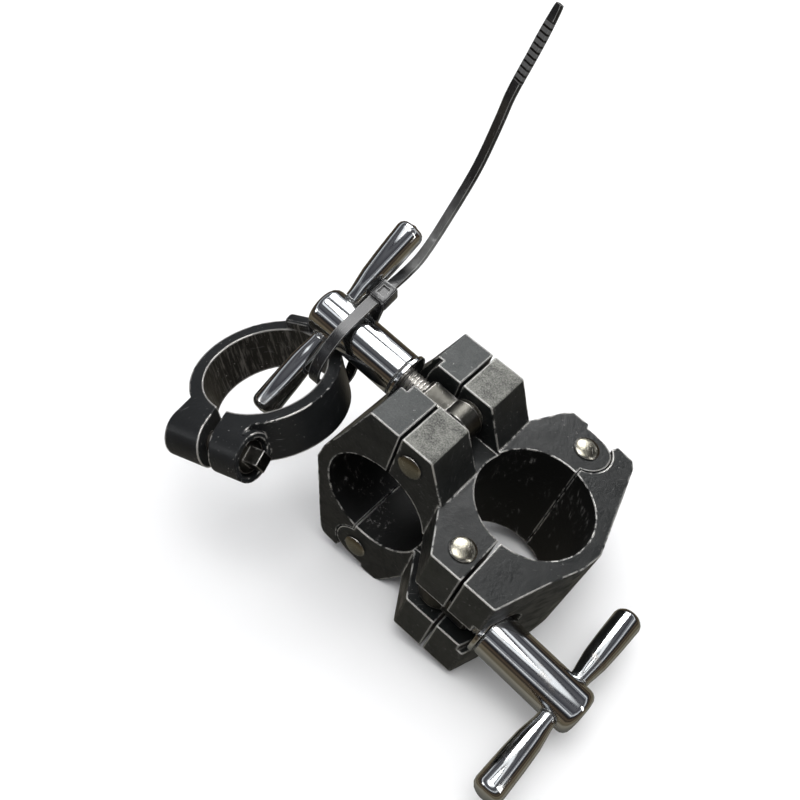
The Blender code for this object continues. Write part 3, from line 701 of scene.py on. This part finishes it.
def make_floor():
    """A white floor that is lit near the object and gives off its own light further out."""
    size = FLOOR_HALF
    corners = [(-size, -size, 0), (size, -size, 0), (size, size, 0), (-size, size, 0)]
    mesh = bpy.data.meshes.new("floor")
    mesh.from_pydata(corners, [], [(0, 1, 2, 3)])
    floor = bpy.data.objects.new("floor", mesh)
    bpy.context.scene.collection.objects.link(floor)
    look = Look("floor_white")
    cloud = look.noise(60.0, 2.0, 0.5)
    away = look.add("ShaderNodeVectorMath", {0: look.place}, operation="LENGTH").outputs["Value"]
    look.finish(look.tint(cloud, *FLOOR_TONES), 0.6, 0.0, look.bump(cloud, 0.01))
    look.shade(Specular_IOR_Level=0.2, Emission_Color=WHITE)
    look.shade(Emission_Strength=look.between(away, *FLOOR_GLOW))
    mesh.materials.append(look.material)
    floor.visible_glossy = False


def make_backdrop():
    """A white surround that only the camera sees."""
    bpy.ops.mesh.primitive_uv_sphere_add(radius=BACKDROP_RADIUS, segments=64, ring_count=32)
    backdrop = bpy.context.object
    backdrop.name = "backdrop"
    look = Look("backdrop_white")
    look.shade(Base_Color=BLACK, Specular_IOR_Level=0.0, Emission_Color=WHITE, Emission_Strength=1.0)
    backdrop.data.materials.append(look.material)
    for ray in ("glossy", "diffuse", "transmission", "volume_scatter", "shadow"):
        setattr(backdrop, "visible_" + ray, False)


def soft_light(name, place, size, power, colour=(1, 1, 1), lights=True, shines=True):
    """A softbox towards the middle of the object, which lights surfaces and shows in reflections if asked."""
    data = bpy.data.lights.new(name, "AREA")
    data.shape = "RECTANGLE"
    data.size, data.size_y = size
    data.energy = power
    data.color = colour
    light = bpy.data.objects.new(name, data)
    bpy.context.scene.collection.objects.link(light)
    light.location = place
    light.rotation_euler = (MIDDLE - Vector(place)).to_track_quat("-Z", "Y").to_euler()
    light.visible_diffuse = lights
    light.visible_glossy = shines


def make_lights():
    soft_light("back", (-0.24, 0.95, 1.20), (0.75, 0.7), 13.5, lights=False)
    soft_light("top", (0.05, -0.10, 1.60), (0.9, 0.9), 15.0, lights=False)
    soft_light("dome", (0.10, 0.15, 1.30), (2.4, 2.4), 27.0, shines=False)
    soft_light("over_camera", (0.25, -0.25, 1.45), (0.7, 0.7), 8.0, shines=False)
    soft_light("side", (1.15, 0.10, 0.55), (0.15, 0.9), 1.6, (1.0, 0.98, 0.95))
    soft_light("front", (-0.75, -0.90, 0.55), (0.4, 0.25), 0.9, (0.96, 0.98, 1.0))


def make_world():
    """A dim room with bright strips overhead and warm low bands, for reflections and a little fill."""
    world = bpy.data.worlds.new("room")
    bpy.context.scene.world = world
    world.use_nodes = True
    tree = world.node_tree
    background = tree.nodes["Background"]
    coordinates = tree.nodes.new("ShaderNodeTexCoord")
    parts = tree.nodes.new("ShaderNodeSeparateXYZ")
    height = tree.nodes.new("ShaderNodeMapRange")
    height.inputs["From Min"].default_value = -1.0
    ramp = tree.nodes.new("ShaderNodeValToRGB")
    tree.links.new(coordinates.outputs["Generated"], parts.inputs[0])
    tree.links.new(parts.outputs["Z"], height.inputs["Value"])
    tree.links.new(height.outputs[0], ramp.inputs[0])
    tree.links.new(ramp.outputs["Color"], background.inputs["Color"])
    elements = ramp.color_ramp.elements
    while len(elements) < len(ROOM_BANDS):
        elements.new(0.5)
    for element, (position, colour) in zip(elements, ROOM_BANDS):
        element.position = position
        element.color = (*colour, 1.0)


def make_camera():
    data = bpy.data.cameras.new("camera")
    camera = bpy.data.objects.new("camera", data)
    bpy.context.scene.collection.objects.link(camera)
    back = -CAMERA_AIM.normalized()
    right = (CAMERA_RIGHT - back * CAMERA_RIGHT.dot(back)).normalized()
    turn = Matrix((right, back.cross(right), back)).transposed().to_4x4()
    camera.matrix_world = Matrix.Translation(CAMERA_PLACE) @ turn
    data.sensor_width = CAMERA_SENSOR
    data.lens = CAMERA_LENS
    data.clip_start = 0.01
    bpy.context.scene.camera = camera


build_castings()
build_collar_and_tie()
build_hardware()
make_floor()
make_backdrop()
make_lights()
make_world()
make_camera()
bpy.context.scene.view_settings.view_transform = "Standard"
bpy.context.scene.view_settings.exposure = 0.0
